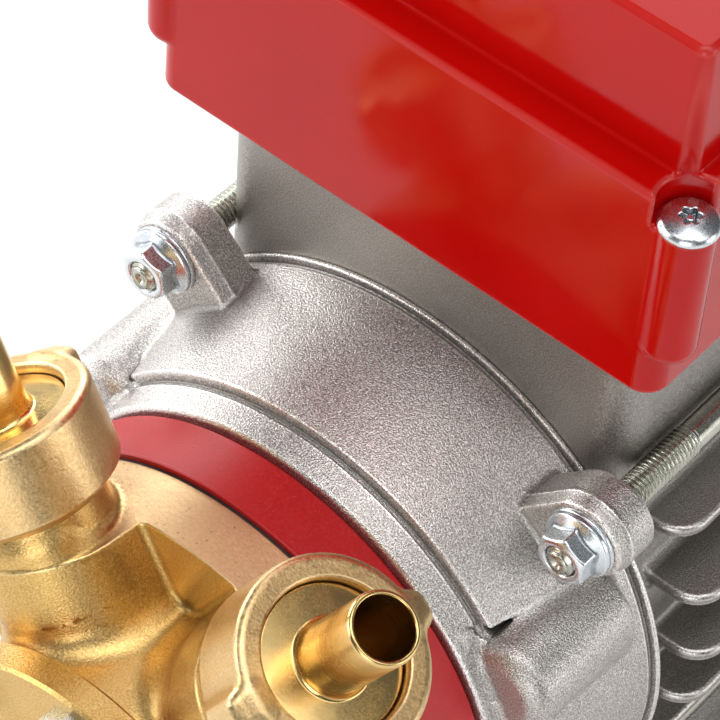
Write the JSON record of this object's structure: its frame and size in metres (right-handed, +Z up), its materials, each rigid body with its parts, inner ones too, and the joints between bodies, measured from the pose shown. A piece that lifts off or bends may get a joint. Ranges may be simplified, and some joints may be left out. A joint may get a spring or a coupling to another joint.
{
  "type": "electric transfer pump",
  "caption": "Close-coupled electric transfer pump: a brass head with two hose unions in a V, a cast aluminium motor held by tie rods, and a red switch box on top.",
  "frame": {"origin": "on the floor under the middle of the overall length and width, level with the feet", "axes": "+Y along the motor shaft from the pump head towards the fan, +Z up, +X to the right when facing the pump head"},
  "size_m": [0.134, 0.2394, 0.2276],
  "materials": {
    "cast_aluminium": "blasted die casting",
    "red_paint": "satin",
    "black_rubber": "matte",
    "cast_brass": "grainy casting",
    "turned_brass": "polished",
    "zinc_steel": "zinc plated",
    "steel": "turned",
    "red_plastic": "glossy moulding",
    "black_plastic": "moulded"
  },
  "bodies": {
    "root": {"motor_bracket": "cast_aluminium", "stator_frame": "cast_aluminium", "rear_shield": "cast_aluminium", "red_ring": "red_paint", "body_seal": "black_rubber", "pump_body": "cast_brass", "pump_cover": "cast_brass", "cover_screws": "zinc_steel", "union_nut_left": "cast_brass", "union_nut_right": "cast_brass", "hose_tail_left": "turned_brass", "hose_tail_right": "turned_brass", "tail_gaskets": "black_rubber", "motor_shaft": "steel", "cooling_fan": "black_plastic", "fan_cowl": "black_plastic", "cowl_screws": "zinc_steel", "tie_rods": "zinc_steel", "front_flange_nuts": "zinc_steel", "rear_flange_nuts": "zinc_steel", "terminal_box": "red_plastic", "box_gasket": "black_rubber", "box_screws": "zinc_steel", "switch_bezel": "black_plastic", "rocker_switch": "black_plastic", "cable_gland": "black_plastic"}
  },
  "joints": []
}
